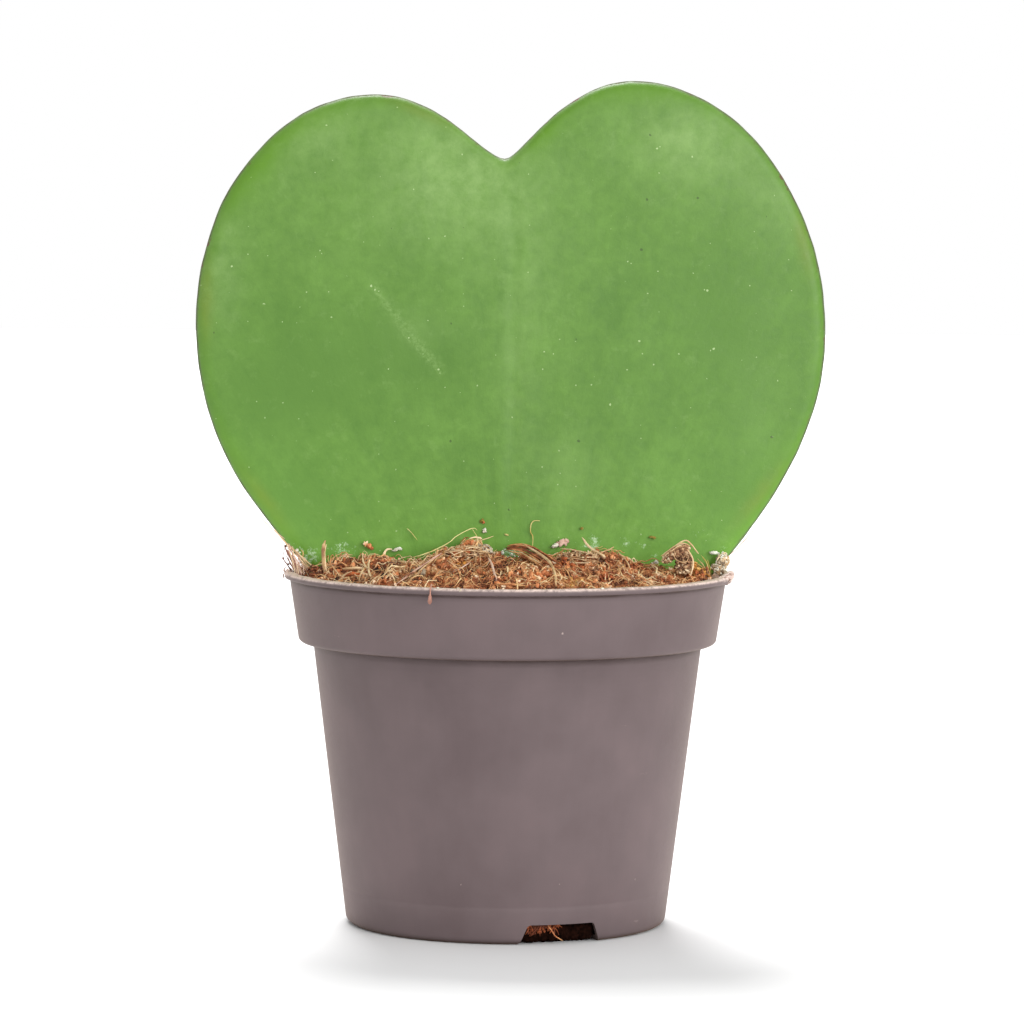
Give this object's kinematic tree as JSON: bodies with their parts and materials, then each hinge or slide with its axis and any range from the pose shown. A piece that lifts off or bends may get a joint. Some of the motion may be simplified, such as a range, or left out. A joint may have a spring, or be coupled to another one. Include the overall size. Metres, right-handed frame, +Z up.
{
  "type": "potted heart-leaf hoya",
  "caption": "Upright heart-shaped succulent leaf rooted in coir mix in a small tapered nursery pot with a stepped collar.",
  "frame": {"origin": "where the pot's axis meets the surface it stands on", "axes": "+Z up along the pot's axis, +X across the leaf from its left flank to its right, the leaf's face looks along -Y"},
  "size_m": [0.0849, 0.06, 0.1133],
  "materials": {
    "pot_plastic": "satin",
    "coir_mix": "matte",
    "leaf": "satin"
  },
  "bodies": {
    "root": {"nursery_pot": "pot_plastic", "potting_mix": "coir_mix", "heart_leaf": "leaf"}
  },
  "joints": []
}
